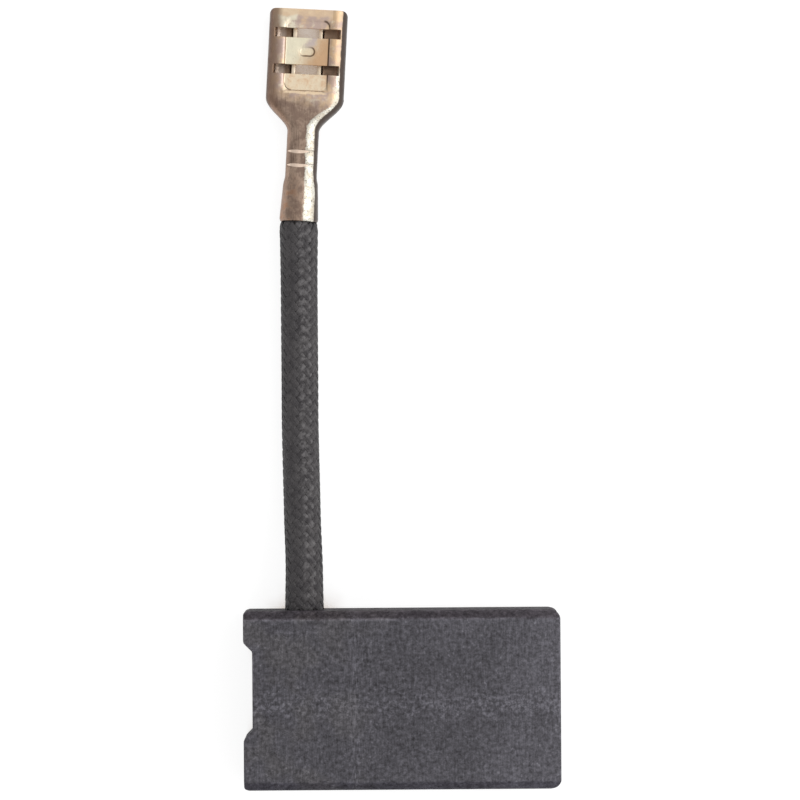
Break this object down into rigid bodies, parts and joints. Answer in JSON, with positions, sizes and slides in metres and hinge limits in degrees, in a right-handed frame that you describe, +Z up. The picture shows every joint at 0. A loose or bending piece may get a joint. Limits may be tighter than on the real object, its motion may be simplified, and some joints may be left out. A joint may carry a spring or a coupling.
{
  "type": "carbon brush",
  "caption": "Rectangular carbon motor brush, notched for its spring, with a braid-sleeved copper shunt and a crimped receptacle for a flat tab.",
  "frame": {"origin": "middle of the large face that the block lies on", "axes": "+X along the block to its wear face, +Y out of the face that the shunt leaves, +Z up through the block's thickness"},
  "size_m": [0.0318, 0.0788, 0.008],
  "materials": {
    "graphite": "pressed carbon graphite, matt with fine speckle, scratches and rubbed edges",
    "copper_powder": "tamped copper powder, dull and granular",
    "copper_rope": "bunched fine bare copper wires, slightly dull",
    "black_braid": "black braided yarn with a soft sheen",
    "tinned_brass": "tin-plated brass sheet, tarnished warm grey and beige, burnished on its raised bands"
  },
  "bodies": {
    "root": {"carbon_block": "graphite", "tamping_plug": "copper_powder", "shunt_cable": "copper_rope", "braided_sleeve": "black_braid", "terminal": "tinned_brass"}
  },
  "joints": []
}
